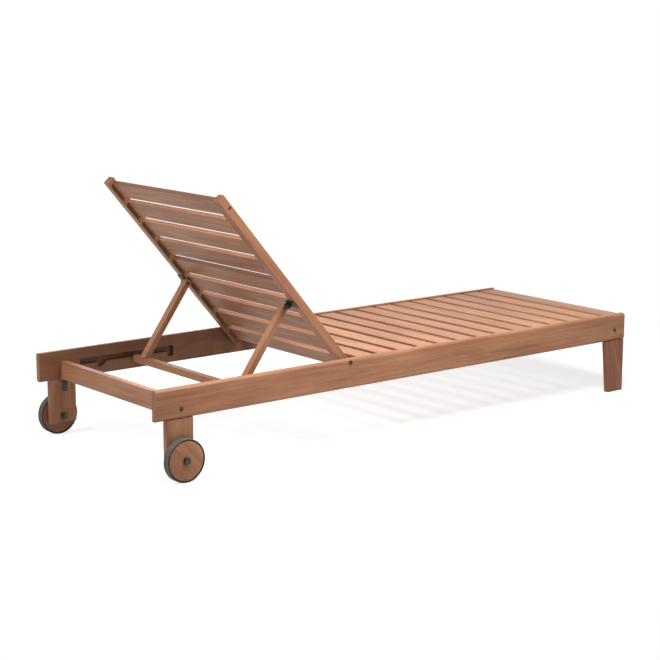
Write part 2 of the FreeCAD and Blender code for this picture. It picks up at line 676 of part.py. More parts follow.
def screw_shank(up, side):
    """Shank of one strut bracket screw in the flat pose, going forward into the stile."""
    y = side * (STILE_IN + STILE_OUT) / 2
    return rod_z(PIVOT_X - up, y, BRACKET_SCREW_D / 2, PIVOT_Z - STILE_REAR - BRACKET_T,
                 PIVOT_Z - STILE_REAR - BRACKET_T + BRACKET_SCREW_L)


def strut_bracket_screws():
    """Four pan head screws of the strut brackets."""
    screws = []
    for _, side in SIDES:
        for up in bracket_screw_places():
            y = side * (STILE_IN + STILE_OUT) / 2
            seat = PIVOT_Z - STILE_REAR - BRACKET_T
            head = rod_z(PIVOT_X - up, y, BRACKET_SCREW_HEAD_D / 2, seat - BRACKET_SCREW_HEAD_H, seat)
            screws.append(turned_up(screw_shank(up, side).fuse(head).removeSplitter()))
    return Part.makeCompound(screws)


def strut_rivets():
    """Two rivets, each through an ear and the top of a strut, with a head at both ends."""
    x, z = back_point(STRUT_PIVOT_UP, STRUT_PIVOT_BEHIND)
    outer = EAR_IN + BRACKET_T
    inner = STRUT_IN - FACE_PLAY
    rivets = []
    for _, side in SIDES:
        pin = rod_y(x, z, RIVET_D / 2, side * inner, side * outer)
        outer_head = dome_head_y(x, z, RIVET_HEAD_D, RIVET_HEAD_H, side * outer, side)
        inner_head = dome_head_y(x, z, RIVET_HEAD_D, RIVET_HEAD_H, side * inner, -side)
        rivets.append(pin.fuse([outer_head, inner_head]).removeSplitter())
    return Part.makeCompound(rivets)


def strut(side):
    """Strut from its rivet down to the top of the bar, with a round upper end."""
    top_x, top_z = back_point(STRUT_PIVOT_UP, STRUT_PIVOT_BEHIND)
    foot_x, foot_z = BAR_X - STRUT_FOOT_SHIFT, BAR_Z + BAR_H / 2
    run = math.hypot(top_x - foot_x, top_z - foot_z)
    spare = 2 * STRUT_T
    blank = box(-spare, run, side * STRUT_IN, side * STRUT_OUT, -STRUT_T / 2, STRUT_T / 2)
    blank = eased(blank, "x", STRUT_ROUND)
    crown = rod_y(run, 0, STRUT_T / 2, side * STRUT_IN, side * STRUT_OUT)
    blank = blank.fuse(crown).removeSplitter()
    blank.rotate(FreeCAD.Vector(0, 0, 0), FreeCAD.Vector(0, 1, 0),
                 -math.degrees(math.atan2(top_z - foot_z, top_x - foot_x)))
    blank.translate(FreeCAD.Vector(foot_x, 0, foot_z))
    waste = box(foot_x - 2 * spare, foot_x + 2 * spare, side * (STRUT_IN - CUT_OVER),
                side * (STRUT_OUT + CUT_OVER), foot_z - 2 * spare, foot_z)
    bore = bore_y(top_x, top_z, RIVET_D / 2 + TURNING_PLAY, side * STRUT_IN, side * STRUT_OUT)
    return blank.cut([waste, bore])


def support_bar():
    """Bar across the feet of the struts, just short of the side rails at both ends."""
    reach = INNER_Y - BAR_END_CLEAR
    bar = box(BAR_X - BAR_W / 2, BAR_X + BAR_W / 2, -reach, reach, BAR_Z - BAR_H / 2,
              BAR_Z + BAR_H / 2)
    return eased(bar, "y", BAR_ROUND)


def strut_foot_screws():
    """Two screws from inside the bar into the feet of the struts, along the struts."""
    top_x, top_z = back_point(STRUT_PIVOT_UP, STRUT_PIVOT_BEHIND)
    foot_x, foot_z = BAR_X - STRUT_FOOT_SHIFT, BAR_Z + BAR_H / 2
    along = FreeCAD.Vector(top_x - foot_x, 0, top_z - foot_z).normalize()
    screws = []
    for _, side in SIDES:
        y = side * (STRUT_IN + STRUT_OUT) / 2
        start = FreeCAD.Vector(foot_x, y, foot_z) - along * FOOT_SCREW_IN_BAR
        screws.append(Part.makeCylinder(FOOT_SCREW_D / 2, FOOT_SCREW_L, start, along))
    return Part.makeCompound(screws)


def build():
    """Every named piece with its shape."""
    pieces = {}
    for name, side in SIDES:
        pieces["side_rail_" + name] = side_rail(side)
        pieces["foot_leg_" + name] = foot_leg(side)
        pieces["wheel_leg_" + name] = wheel_leg(side)
        pieces["wheel_disc_" + name] = wheel_disc(side)
        pieces["tyre_" + name] = tyre(side)
        pieces["wheel_bush_" + name] = wheel_bush(side)
        pieces["back_stile_" + name] = back_stile(side)
        pieces["strut_" + name] = strut(side)
    pieces["head_cross_rail"] = cross_rail(HEAD_RAIL_X, RAIL_BOTTOM, HEAD_RAIL_H, head_bolt_place())
    pieces["foot_cross_rail"] = cross_rail(FOOT_RAIL_X, RAIL_BOTTOM, FOOT_RAIL_H,
                                           foot_bolt_place())
    for number, (start, end) in enumerate(seat_slat_spans(), 1):
        pieces["seat_slat_%02d" % number] = seat_slat(start, end)
    for number, (low, high) in enumerate(back_slat_spans(), 1):
        pieces["back_slat_%02d" % number] = back_slat(low, high)
    pieces["leg_dowels"] = leg_dowels()
    pieces["leg_brackets"] = leg_brackets()
    pieces["leg_bracket_screws"] = bracket_screws()
    pieces["frame_bolts"] = frame_bolts()
    pieces["barrel_nuts"] = barrel_nuts()
    pieces["axle_bolts"] = axle_bolts()
    pieces["axle_nuts"] = axle_nuts()
    pieces["axle_washers"] = axle_washers()
    pieces["pivot_bolts"] = pivot_bolts()
    pieces["pivot_spacers"] = pivot_spacers()
    pieces["pivot_nuts"] = pivot_nuts()
    pieces["top_slat_screws"] = top_slat_screws()
    pieces["strut_brackets"] = strut_brackets()
    pieces["strut_bracket_screws"] = strut_bracket_screws()
    pieces["strut_rivets"] = strut_rivets()
    pieces["support_bar"] = support_bar()
    pieces["strut_foot_screws"] = strut_foot_screws()
    return pieces


def write_steps(pieces):
    """Write one STEP file for each piece."""
    os.makedirs("parts", exist_ok=True)
    for name, shape in sorted(pieces.items()):
        shape.exportStep("parts/" + name + ".step")
    print(len(pieces), "pieces, back at", round(BACK_ANGLE, 3), "degrees")


write_steps(build())
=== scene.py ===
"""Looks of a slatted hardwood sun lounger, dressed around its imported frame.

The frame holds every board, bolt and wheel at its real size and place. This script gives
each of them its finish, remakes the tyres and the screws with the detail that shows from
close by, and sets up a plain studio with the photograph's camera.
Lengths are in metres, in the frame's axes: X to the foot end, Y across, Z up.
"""
from __future__ import annotations

import logging
import math
from dataclasses import dataclass, field
from enum import Enum

import bpy
import numpy as np
from mathutils import Matrix, Vector


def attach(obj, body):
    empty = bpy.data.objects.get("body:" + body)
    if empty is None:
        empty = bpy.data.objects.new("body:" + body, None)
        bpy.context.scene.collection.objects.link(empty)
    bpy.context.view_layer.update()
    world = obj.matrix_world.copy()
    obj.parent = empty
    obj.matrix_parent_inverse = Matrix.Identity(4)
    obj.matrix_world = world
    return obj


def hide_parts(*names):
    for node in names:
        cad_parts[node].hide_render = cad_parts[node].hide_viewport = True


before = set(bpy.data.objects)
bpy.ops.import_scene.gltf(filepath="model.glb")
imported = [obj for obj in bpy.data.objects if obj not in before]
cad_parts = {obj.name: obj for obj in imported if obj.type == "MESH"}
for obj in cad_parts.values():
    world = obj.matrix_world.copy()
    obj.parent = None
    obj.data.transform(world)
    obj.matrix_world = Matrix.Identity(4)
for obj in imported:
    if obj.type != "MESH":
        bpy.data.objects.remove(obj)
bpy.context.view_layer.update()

MM = 0.001

log = logging.getLogger("lounger")

Colour = tuple[float, float, float]


class Side(Enum):
    """Side of the lounger, with the sign of its Y."""

    LEFT = 1
    RIGHT = -1

    @property
    def word(self) -> str:
        """The side's word in the names of the frame's nodes."""
        return self.name.lower()

    def node(self, start: str) -> str:
        """Name of the frame's node that a word and this side make."""
        return start + "_" + self.word


class Grade(Enum):
    """How deep a board's colour is, with the share of dark wood that it adds."""

    PALE = -0.12
    EVEN = 0.0
    DEEP = 0.14
    # Painted shade: a very deep grade that stands in for the shade under the rails on the foot legs.
    DARK = 0.50


class NodeSheet:
    """The nodes of one material, with a short call for each kind that the finishes use."""

    def __init__(self, name: str) -> None:
        """Start an empty material.

        Args:
            name: Name of the material.
        """
        self.material = bpy.data.materials.new(name)
        self.material.use_nodes = True
        self.tree = self.material.node_tree
        self.tree.nodes.clear()
        self.output = self.tree.nodes.new("ShaderNodeOutputMaterial")
        self.shader = self.tree.nodes.new("ShaderNodeBsdfPrincipled")
        self.link(self.shader.outputs["BSDF"], self.output.inputs["Surface"])

    def link(self, source: object, target: object) -> None:
        """Join an output socket to an input socket."""
        self.tree.links.new(source, target)

    def feed(self, socket: object, value: object) -> None:
        """Give a socket either a link or a plain value.

        Args:
            socket: Input socket of a node.
            value: Output socket to link, or the number, vector or colour to set.
        """
        if isinstance(value, bpy.types.NodeSocket):
            self.link(value, socket)
        elif isinstance(value, (tuple, list)) and socket.type == "RGBA" and len(value) == 3:
            socket.default_value = (*value, 1.0)
        else:
            socket.default_value = value

    def position(self) -> object:
        """Output socket with the point's place in the frame."""
        return self.tree.nodes.new("ShaderNodeTexCoord").outputs["Object"]

    def parts(self, vector: object) -> tuple:
        """X, Y and Z of a vector, as three output sockets."""
        node = self.tree.nodes.new("ShaderNodeSeparateXYZ")
        self.link(vector, node.inputs[0])
        return tuple(node.outputs)

    def math(self, operation: str, first: object, second: object = 0.0, third: object = 0.0) -> object:
        """Arithmetic on numbers.

        Args:
            operation: Name of the operation, such as MULTIPLY.
            first: First number or socket.
            second: Second number or socket.
            third: Third number or socket.

        Returns:
            Output socket with the result.
        """
        node = self.tree.nodes.new("ShaderNodeMath")
        node.operation = operation
        for socket, value in zip(node.inputs, (first, second, third)):
            self.feed(socket, value)
        return node.outputs[0]

    def span(self, value: object, low: float, high: float, to_low: float = 0.0, to_high: float = 1.0) -> object:
        """Smooth step of a number from one range to another.

        Args:
            value: Number or socket to remap.
            low: Start of the range that is read.
            high: End of the range that is read.
            to_low: Result at and below low.
            to_high: Result at and above high.

        Returns:
            Output socket with the result.
        """
        node = self.tree.nodes.new("ShaderNodeMapRange")
        node.interpolation_type = "SMOOTHSTEP"
        for index, number in enumerate((value, low, high, to_low, to_high)):
            self.feed(node.inputs[index], number)
        return node.outputs[0]

    def mapping(self, vector: object, location: Vector | tuple = (0, 0, 0), rotation: tuple = (0, 0, 0),
                scale: tuple = (1, 1, 1)) -> object:
        """Scale, turn and shift a vector.

        Args:
            vector: Socket of the vector.
            location: Shift, applied last.
            rotation: Euler angles, applied after the scale.
            scale: Factors along the axes, applied first.

        Returns:
            Output socket with the result.
        """
        node = self.tree.nodes.new("ShaderNodeMapping")
        self.link(vector, node.inputs["Vector"])
        node.inputs["Location"].default_value = tuple(location)
        node.inputs["Rotation"].default_value = tuple(rotation)
        node.inputs["Scale"].default_value = tuple(scale)
        return node.outputs[0]

    def noise(self, vector: object, scale: tuple, detail: float = 3.0, roughness: float = 0.5) -> object:
        """Fractal noise with its own scale along each axis.

        Args:
            vector: Socket of the place.
            scale: Waves per metre along each axis.
            detail: Octaves of finer noise.
            roughness: Share that each finer octave keeps.

        Returns:
            Output socket with a number around 0.5.
        """
        node = self.tree.nodes.new("ShaderNodeTexNoise")
        self.link(self.mapping(vector, scale=scale), node.inputs["Vector"])
        node.inputs["Scale"].default_value = 1.0
        node.inputs["Detail"].default_value = detail
        node.inputs["Roughness"].default_value = roughness
        return node.outputs["Fac"]

    def mix(self, factor: object, first: object, second: object, blend: str = "MIX") -> object:
        """Blend two colours.

        Args:
            factor: Share of the second colour.
            first: Colour or socket.
            second: Colour or socket.
            blend: Name of the blend type.

        Returns:
            Output socket with the colour.
        """
        node = self.tree.nodes.new("ShaderNodeMix")
        node.data_type = "RGBA"
        node.blend_type = blend
        self.feed(node.inputs["Factor"], factor)
        self.feed(node.inputs[6], first)
        self.feed(node.inputs[7], second)
        return node.outputs[2]

    def edge(self, radius: float) -> object:
        """Mask of the sharp outer edges.

        Args:
            radius: Reach of the mask from an edge.

        Returns:
            Output socket, near 0 on flat faces and rising to 1 on edges.
        """
        bevel = self.tree.nodes.new("ShaderNodeBevel")
        bevel.samples = 4
        bevel.inputs["Radius"].default_value = radius
        geometry = self.tree.nodes.new("ShaderNodeNewGeometry")
        dot = self.tree.nodes.new("ShaderNodeVectorMath")
        dot.operation = "DOT_PRODUCT"
        self.link(bevel.outputs["Normal"], dot.inputs[0])
        self.link(geometry.outputs["Normal"], dot.inputs[1])
        return self.span(dot.outputs["Value"], 0.99, 0.80)

    def bump(self, height: object, strength: float, distance: float) -> None:
        """Raise the surface by a height.

        Args:
            height: Socket with the height, from 0 to 1.
            strength: Strength of the bump.
            distance: Height in metres that 1 stands for.
        """
        node = self.tree.nodes.new("ShaderNodeBump")
        node.inputs["Strength"].default_value = strength
        node.inputs["Distance"].default_value = distance
        self.link(height, node.inputs["Height"])
        self.link(node.outputs["Normal"], self.shader.inputs["Normal"])

    def set(self, **values: object) -> None:
        """Feed the shader's sockets by name, with an underscore for each space."""
        for name, value in values.items():
            self.feed(self.shader.inputs[name.replace("_", " ")], value)


@dataclass(frozen=True)
class BoardAxes:
    """Centre of a board and its own axes: along the grain, across it, through the thickness."""

    centre: Vector
    turn: Matrix
    half_length: float = 1.0
    half_width: float = 1.0

    @classmethod
    def of(cls, node: str) -> BoardAxes:
        """Read them from the spread of a node's faces.

        The spread is that of the triangles' centres, so the axes of a board with a few long triangles come out
        some degrees askew, and its half width too large.

        Args:
            node: Name of a frame node that is one board.

        Returns:
            The board's axes.
        """
        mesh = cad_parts[node].data
        centres = np.array([p.center for p in mesh.polygons])
        areas = np.array([p.area for p in mesh.polygons])
        centre = np.average(centres, axis=0, weights=areas)
        spread = np.cov((centres - centre).T, aweights=areas)
        _, axes = np.linalg.eigh(spread)
        rows = [Vector(axes[:, i]) for i in (2, 1, 0)]
        rows = [r if max(r, key=abs) > 0 else -r for r in rows]
        rows[2] = rows[0].cross(rows[1])
        corners = np.array([v.co for v in mesh.vertices]) @ np.array(rows).T
        low, high = corners.min(axis=0), corners.max(axis=0)
        half_length, half_width, _ = ((high - low) / 2).tolist()
        turn = Matrix(rows)
        return cls(turn.transposed() @ Vector((low + high) / 2), turn, half_length, half_width)


@dataclass(frozen=True)
class PaintedShade:
    """Zone of a board with painted shade, a deeper colour where shade falls: between two distances from the middle
    plane.
    """

    near: float
    far: float
    depth: float
    low: float = -1.0
    high: float = 2.0
    head: float = -2.0
    foot: float = 2.0
    soft: float = 0.0008

    def mask(self, sheet: NodeSheet) -> object:
        """Mask of the zone.

        Args:
            sheet: Material that gets the nodes.

        Returns:
            Output socket, 1 inside the zone and 0 outside it, times the zone's depth.
        """
        x, y, z = sheet.parts(sheet.position())
        across = sheet.math("ABSOLUTE", y)
        made = sheet.math("MULTIPLY", sheet.span(across, self.near - self.soft, self.near), self.depth)
        made = sheet.math("MULTIPLY", made, sheet.span(across, self.far + self.soft, self.far))
        for value, low, high in ((z, self.low, self.high), (x, self.head, self.foot)):
            made = sheet.math("MULTIPLY", made, sheet.span(value, low - self.soft, low))
            made = sheet.math("MULTIPLY", made, sheet.span(value, high + self.soft, high))
        return made


@dataclass(frozen=True)
class OiledHardwood:
    """Close-grained reddish hardwood, planed, sanded and oiled."""

    light: Colour = (0.530, 0.252, 0.128)
    dark: Colour = (0.262, 0.098, 0.044)
    # Colour of the pores; the painted shade on zones and long edges, the end grain and the glue lines also go towards
    # it.
    pore_and_painted_shade: Colour = (0.100, 0.034, 0.014)
    # Lighter colour of worn edges; it also stands in as a painted highlight along the edges.
    worn: Colour = (0.640, 0.350, 0.200)
    ring_width: float = 0.0075
    pith_depth: float = 0.075
    figure: float = 0.5
    roughness: float = 0.46
    band_start: float = 0.0013
    band_full: float = 0.0004

    def grain(self, sheet: NodeSheet, place: object, pick: np.random.Generator, tone: object) -> tuple:
        """Nodes of the wood itself.

        Args:
            sheet: Material that gets the nodes.
            place: Socket with the place along, across and through the board.
            pick: Source of the board's own numbers.
            tone: Share of dark wood that is added, a number or a socket.

        Returns:
            Output sockets with the colour, the streaks, the pores and the height.
        """
        wood = sheet.mapping(place, Vector(pick.uniform(-9.0, 9.0, 3)))
        sway = sheet.noise(wood, (1.6, 5.0, 5.0), 2.0)
        wander = sheet.noise(wood, (5.0, 26.0, 26.0), 3.0)
        _, across, depth = sheet.parts(place)
        across = sheet.math("ADD", across, pick.uniform(-0.025, 0.025))
        across = sheet.math("MULTIPLY_ADD", sway, 0.050, across)
        depth = sheet.math("ADD", depth, self.pith_depth * pick.uniform(0.6, 1.5))
        depth = sheet.math("MULTIPLY_ADD", wander, 0.016, depth)
        radius = sheet.math("SQRT", sheet.math("ADD", sheet.math("MULTIPLY", across, across),
                                               sheet.math("MULTIPLY", depth, depth)))
        phase = sheet.math("FRACT", sheet.math("DIVIDE", radius, self.ring_width))
        rings = sheet.math("MULTIPLY", sheet.span(phase, 0.0, 0.75), sheet.span(phase, 1.0, 0.80))

        patches = sheet.noise(wood, (3.2, 19.0, 19.0), 3.0)
        streaks = sheet.noise(wood, (4.0, 95.0, 95.0), 4.0, 0.55)
        fibres = sheet.noise(wood, (26.0, 1500.0, 1500.0), 2.0, 0.6)
        share = sheet.math("ADD", sheet.math("MULTIPLY_ADD", rings, 0.26 * self.figure, 0.35), tone)
        share = sheet.math("MULTIPLY_ADD", sheet.span(patches, 0.30, 0.72, -0.5, 0.5), 0.46, share)
        share = sheet.math("MULTIPLY_ADD", sheet.span(streaks, 0.28, 0.74, -0.5, 0.5), 0.36, share)
        share = sheet.math("MULTIPLY_ADD", sheet.span(fibres, 0.2, 0.8, -0.5, 0.5), 0.12, share)
        share = sheet.math("MINIMUM", sheet.math("MAXIMUM", share, 0.0), 1.0)
        pores = sheet.span(sheet.noise(wood, (34.0, 900.0, 900.0), 1.0), 0.64, 0.74)
        colour = sheet.mix(share, self.light, self.dark)
        colour = sheet.mix(sheet.math("MULTIPLY", pores, 0.30), colour, self.pore_and_painted_shade)
        height = sheet.math("MULTIPLY_ADD", pores, -0.8, sheet.math("MULTIPLY_ADD", rings, -0.25, fibres))
        return colour, streaks, pores, height

    def surface(self, sheet: NodeSheet, colour: object, streaks: object, pores: object, height: object) -> None:
        """Finish a board's material: worn edges that also serve as a painted highlight, satin gloss and fine relief.

        Args:
            sheet: The material.
            colour: Socket with the wood's colour.
            streaks: Socket with its streaks.
            pores: Socket with its pores.
            height: Socket with its relief.
        """
        # Worn edges, lighter: part wear, part painted highlight along the edges.
        edges = sheet.math("MULTIPLY", sheet.edge(0.0025), sheet.span(streaks, 0.3, 0.7, 0.03, 0.16))
        gloss = sheet.math("MULTIPLY_ADD", streaks, 0.16, self.roughness - 0.08)
        sheet.set(Base_Color=sheet.mix(edges, colour, self.worn), Specular_IOR_Level=0.36,
                  Roughness=sheet.math("MULTIPLY_ADD", pores, 0.15, gloss))
        sheet.bump(height, 0.35, 0.00012)

    def beyond(self, sheet: NodeSheet, value: object, limit: float, depth: float) -> object:
        """Mask of a thin band along a board's limit, times a depth.

        Args:
            sheet: The material.
            value: Socket with the place along or across the board.
            limit: Half of the board's length or width.
            depth: Strength of the mask.

        Returns:
            Output socket, 0 inside the board. It stays 0 where the board's axes are askew.
        """
        reach = sheet.math("ABSOLUTE", value)
        band = sheet.span(reach, limit - self.band_start, limit - self.band_full)
        return sheet.math("MULTIPLY", band, depth)

    def material(self, name: str, axes: BoardAxes, seed: int, grade: Grade = Grade.EVEN,
                 painted_shades: tuple[PaintedShade, ...] = (), edges: float = 0.0, ends: float = 0.30) -> bpy.types.Material:
        """Build the finish of one board, cut from its own place in the log.

        Args:
            name: Name of the material.
            axes: The board's own axes.
            seed: Number of the board, which picks its place in the log.
            grade: How deep its colour is.
            painted_shades: Zones of it with painted shade, a deeper colour where shade falls.
            edges: Strength of the painted shade on its long edges, where the gaps between boards fall in shade.
            ends: How much deeper its end grain is.

        Returns:
            The material.
        """
        sheet = NodeSheet(name)
        pick = np.random.default_rng(seed)
        place = sheet.mapping(sheet.position(), -(axes.turn @ axes.centre), axes.turn.to_euler())
        tone = grade.value + pick.uniform(-0.06, 0.06)
        colour, streaks, pores, height = self.grain(sheet, place, pick, tone)
        # Painted shade: each zone goes towards the dark pore colour.
        for shade in painted_shades:
            colour = sheet.mix(shade.mask(sheet), colour, self.pore_and_painted_shade)
        along, across, _ = sheet.parts(place)
        colour = sheet.mix(self.beyond(sheet, along, axes.half_length, ends), colour, self.pore_and_painted_shade)
        # Painted shade on the long edges, for the shade in the gaps between boards.
        colour = sheet.mix(self.beyond(sheet, across, axes.half_width, edges), colour, self.pore_and_painted_shade)
        self.surface(sheet, colour, streaks, pores, height)
        return sheet.material


@dataclass(frozen=True)
class GluedHardwood(OiledHardwood):
    """The same wood as staves glued edge to edge, as a wheel disc is made."""

    stave: float = 0.0645
    first_joint: float = 0.0125
    joint: float = 0.0004

    def disc(self, name: str, axes: BoardAxes, seed: int) -> bpy.types.Material:
        """Build the finish of a glued disc.

        Args:
            name: Name of the material.
            axes: Centre of the disc, and its axes along and across the staves.
            seed: Number of the disc.

        Returns:
            The material.
        """
        sheet = NodeSheet(name)
        pick = np.random.default_rng(seed)
        place = sheet.mapping(sheet.position(), -(axes.turn @ axes.centre), axes.turn.to_euler())
        along, across, through = sheet.parts(place)
        count = sheet.math("DIVIDE", sheet.math("SUBTRACT", across, self.first_joint), self.stave)
        number = sheet.math("FLOOR", count)
        moved = sheet.tree.nodes.new("ShaderNodeCombineXYZ")
        sheet.feed(moved.inputs[0], sheet.math("MULTIPLY_ADD", number, 0.731, along))
        sheet.feed(moved.inputs[1], sheet.math("MULTIPLY_ADD", number, 0.017, across))
        sheet.feed(moved.inputs[2], sheet.math("MULTIPLY_ADD", number, 0.029, through))
        # Painted highlight: the staves lighten towards one rim of the disc, where light falls on it.
        painted_rim_highlight = sheet.math("MULTIPLY", sheet.span(across, 0.030, 0.056), -0.30)
        tone = sheet.math("ADD", sheet.math("MULTIPLY_ADD", number, -0.10, 0.06), painted_rim_highlight)
        colour, streaks, pores, height = self.grain(sheet, moved.outputs[0], pick, tone)
        beside = sheet.math("ABSOLUTE", sheet.math("SUBTRACT", sheet.math("FRACT", sheet.math("ADD", count, 0.5)), 0.5))
        line = sheet.span(sheet.math("MULTIPLY", beside, self.stave), self.joint * 1.6, self.joint * 0.4)
        colour = sheet.mix(sheet.math("MULTIPLY", line, 0.75), colour, self.pore_and_painted_shade)
        self.surface(sheet, colour, streaks, pores, sheet.math("MULTIPLY_ADD", line, -1.5, height))
        return sheet.material


@dataclass(frozen=True)
class BlackSteel:
    """Blackened steel of brackets and bolt heads, rubbed brighter on its edges."""

    colour: Colour = (0.040, 0.038, 0.034)
    bare: Colour = (0.24, 0.23, 0.21)
    roughness: float = 0.40

    def material(self, name: str) -> bpy.types.Material:
        """Build the finish.

        Args:
            name: Name of the material.

        Returns:
            The material.
        """
        sheet = NodeSheet(name)
        place = sheet.position()
        clouds = sheet.noise(place, (90.0, 90.0, 90.0), 4.0, 0.6)
        grit = sheet.noise(place, (1400.0, 1400.0, 1400.0), 2.0)
        worn = sheet.math("MULTIPLY", sheet.edge(0.0009), sheet.span(clouds, 0.35, 0.65, 0.15, 0.75))
        colour = sheet.mix(sheet.span(clouds, 0.3, 0.7, 0.0, 0.12), self.colour, self.bare)
        colour = sheet.mix(worn, colour, self.bare)
        sheet.set(Base_Color=colour, Metallic=0.85,
                  Roughness=sheet.math("MULTIPLY_ADD", clouds, 0.25, self.roughness - 0.12))
        sheet.bump(grit, 0.25, 0.00006)
        return sheet.material


@dataclass(frozen=True)
class PlatedSteel:
    """Zinc-plated steel of the nuts and spacers that sit out of sight."""

    colour: Colour = (0.46, 0.45, 0.43)
    dull: Colour = (0.30, 0.30, 0.29)

    def material(self, name: str) -> bpy.types.Material:
        """Build the finish.

        Args:
            name: Name of the material.

        Returns:
            The material.
        """
        sheet = NodeSheet(name)
        place = sheet.position()
        spangle = sheet.noise(place, (420.0, 420.0, 420.0), 3.0)
        turned = sheet.noise(place, (2600.0, 160.0, 2600.0), 2.0)
        sheet.set(Base_Color=sheet.mix(sheet.span(spangle, 0.35, 0.65), self.colour, self.dull),
                  Metallic=1.0, Roughness=sheet.math("MULTIPLY_ADD", spangle, 0.25, 0.22))
        sheet.bump(turned, 0.2, 0.00004)
        return sheet.material


@dataclass(frozen=True)
class Rubber:
    """Solid rubber of the tyres: a grey tread, part dusting and part painted sheen, near black on the side walls."""

    clean: Colour = (0.012, 0.0115, 0.011)
    # Grey of the tread: part dusting, part painted sheen.
    dust_and_sheen_grey: Colour = (0.165, 0.148, 0.133)

    def material(self, name: str, dust_and_sheen: float) -> bpy.types.Material:
        """Build the finish.

        Args:
            name: Name of the material.
            dust_and_sheen: How much of the grey of dusting and painted sheen covers it, from 0 to 1.

        Returns:
            The material.
        """
        sheet = NodeSheet(name)
        place = sheet.position()
        clouds = sheet.noise(place, (55.0, 90.0, 55.0), 4.0, 0.6)
        grain = sheet.noise(place, (1800.0, 1800.0, 1800.0), 2.0)
        cover = sheet.math("MULTIPLY", sheet.span(clouds, 0.2, 0.8, 0.65, 1.0), dust_and_sheen)
        sheet.set(Base_Color=sheet.mix(cover, self.clean, self.dust_and_sheen_grey), Specular_IOR_Level=0.35,
                  Roughness=sheet.math("MULTIPLY_ADD", clouds, 0.2, 0.55))
        sheet.bump(grain, 0.4, 0.00008)
        return sheet.material


@dataclass(frozen=True)
class Nylon:
    """Moulded nylon of the wheel bushes."""

    colour: Colour = (0.045, 0.045, 0.047)

    def material(self, name: str) -> bpy.types.Material:
        """Build the finish.

        Args:
            name: Name of the material.

        Returns:
            The material.
        """
        sheet = NodeSheet(name)
        mottle = sheet.noise(sheet.position(), (700.0, 700.0, 700.0), 3.0)
        sheet.set(Base_Color=sheet.mix(sheet.span(mottle, 0.3, 0.7), self.colour, (0.07, 0.07, 0.07)),
                  Roughness=sheet.math("MULTIPLY_ADD", mottle, 0.2, 0.35))
        sheet.bump(mottle, 0.2, 0.00005)
        return sheet.material


def dress(node: str, material: bpy.types.Material) -> None:
    """Put one finish on a frame node.

    Args:
        node: Name of the node.
        material: The finish.
    """
    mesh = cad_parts[node].data
    mesh.materials.clear()
    mesh.materials.append(material)
    log.info("%s wears %s", node, material.name)


def nodes_named(start: str) -> list[str]:
    """Names of the frame's nodes that start with some letters, in order."""
    return sorted(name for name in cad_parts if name.startswith(start))


def new_piece(name: str, mesh: bpy.types.Mesh) -> bpy.types.Object:
    """Put a mesh in the scene as a piece.

    Args:
        name: Name of the piece.
        mesh: Its mesh, in the frame's axes.

    Returns:
        The piece.
    """
    piece = bpy.data.objects.new(name, mesh)
    bpy.context.scene.collection.objects.link(piece)
    return piece


def smooth(mesh: bpy.types.Mesh, angle: float = 40.0) -> None:
    """Shade a mesh smooth, with creases where its faces meet at more than an angle in degrees."""
    mesh.shade_smooth()
    mesh.set_sharp_from_angle(angle=math.radians(angle))


@dataclass
class WoodShop:
    """Gives each board its own piece of the same wood."""

    finish: OiledHardwood = field(default_factory=OiledHardwood)
    seed: int = 11

    def board(self, node: str, grade: Grade = Grade.EVEN, painted_shades: tuple[PaintedShade, ...] = (),
              edges: float = 0.0, ends: float = 0.30) -> None:
        """Dress one board.

        Args:
            node: Name of the board's node.
            grade: How deep its colour is.
            painted_shades: Zones of it with painted shade, a deeper colour where shade falls.
            edges: Strength of the painted shade on its long edges, where the gaps between boards fall in shade.
            ends: How much deeper its end grain is.
        """
        self.seed += 1
        dress(node, self.finish.material("wood_" + node, BoardAxes.of(node), self.seed, grade, painted_shades, edges, ends))


@dataclass
class BedFrame:
    """Side rails, cross rails, legs and seat slats."""

    shop: WoodShop
    rail_inside: float = 0.326
    groove_back: float = 0.338
    groove_low: float = 0.207
    groove_high: float = 0.246
    groove_head: float = -0.853
    groove_foot: float = -0.480

    def rails(self) -> None:
        """Dress the side rails, with painted shade on their inner faces and in their grooves."""
        # Painted shade: the inner faces and the groove go towards the dark pore colour.
        inner = PaintedShade(0.30, self.rail_inside + 0.0006, 0.55, soft=0.0014)
        groove = PaintedShade(self.rail_inside + 0.0009, self.groove_back + 0.0006, 0.86, self.groove_low,
                       self.groove_high, self.groove_head, self.groove_foot)
        for side in Side:
            self.shop.board(side.node("side_rail"), Grade.EVEN, (inner, groove))

    def cross_rails(self) -> None:
        """Dress the cross rails at the head and at the foot."""
        self.shop.board("head_cross_rail", Grade.EVEN)
        self.shop.board("foot_cross_rail", Grade.DEEP)

    def legs(self) -> None:
        """Dress the legs and the dowels that join them to the rails."""
        for side in Side:
            # Painted shade: the foot legs get the deepest grade and dark long edges, the wheel legs lighter dark edges,
            # for the shade under and beside the rails.
            self.shop.board(side.node("foot_leg"), Grade.DARK, edges=0.80)
            self.shop.board(side.node("wheel_leg"), Grade.DEEP, edges=0.25)
        self.shop.board("leg_dowels", Grade.PALE)

    def seat(self) -> None:
        """Dress the seat slats."""
        for node in nodes_named("seat_slat"):
            # Painted shade on the slats' long edges, for the shade in the gaps between them.
            self.shop.board(node, Grade.PALE, edges=0.92)

    def build(self) -> None:
        """Dress the whole frame."""
        self.rails()
        self.cross_rails()
        self.legs()
        self.seat()


